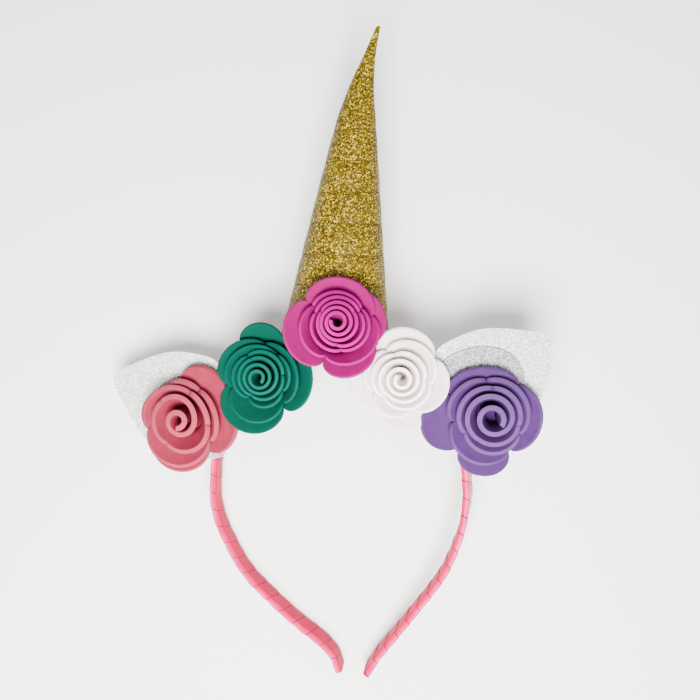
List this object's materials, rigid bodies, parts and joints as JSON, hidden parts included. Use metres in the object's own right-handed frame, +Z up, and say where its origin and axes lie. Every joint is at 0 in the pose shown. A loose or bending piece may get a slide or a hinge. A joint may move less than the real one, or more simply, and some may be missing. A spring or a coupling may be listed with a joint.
{
  "type": "unicorn horn headband",
  "caption": "Child's ribbon-wound headband with a glitter foam unicorn horn, two glitter foam ears and rolled foam roses, lying on its back.",
  "frame": {"origin": "middle of the part's box in plan, at the height of the surface that it lies on", "axes": "+X to the wearer's left, which is the right of the front view; +Y from the band's tips towards the horn's point; +Z up from the table, out of the headband's front"},
  "size_m": [0.1916, 0.285, 0.0621],
  "materials": {
    "ribbon": "pink satin ribbon wound round a flat plastic band",
    "gold_glitter": "soft foam sheet faced with coarse gold glitter",
    "white_glitter": "soft foam sheet faced with fine white glitter",
    "coral_foam": "matte coral craft foam sheet",
    "green_foam": "matte green craft foam sheet",
    "magenta_foam": "matte magenta craft foam sheet",
    "white_foam": "matte white craft foam sheet",
    "purple_foam": "matte purple craft foam sheet"
  },
  "bodies": {
    "root": {"headband": "ribbon", "horn": "gold_glitter", "ear_left": "white_glitter", "ear_right": "white_glitter", "inner_ear_left": "white_glitter", "inner_ear_right": "white_glitter", "rose_coral": "coral_foam", "rose_green": "green_foam", "rose_magenta": "magenta_foam", "rose_white": "white_foam", "rose_purple": "purple_foam"}
  },
  "joints": []
}
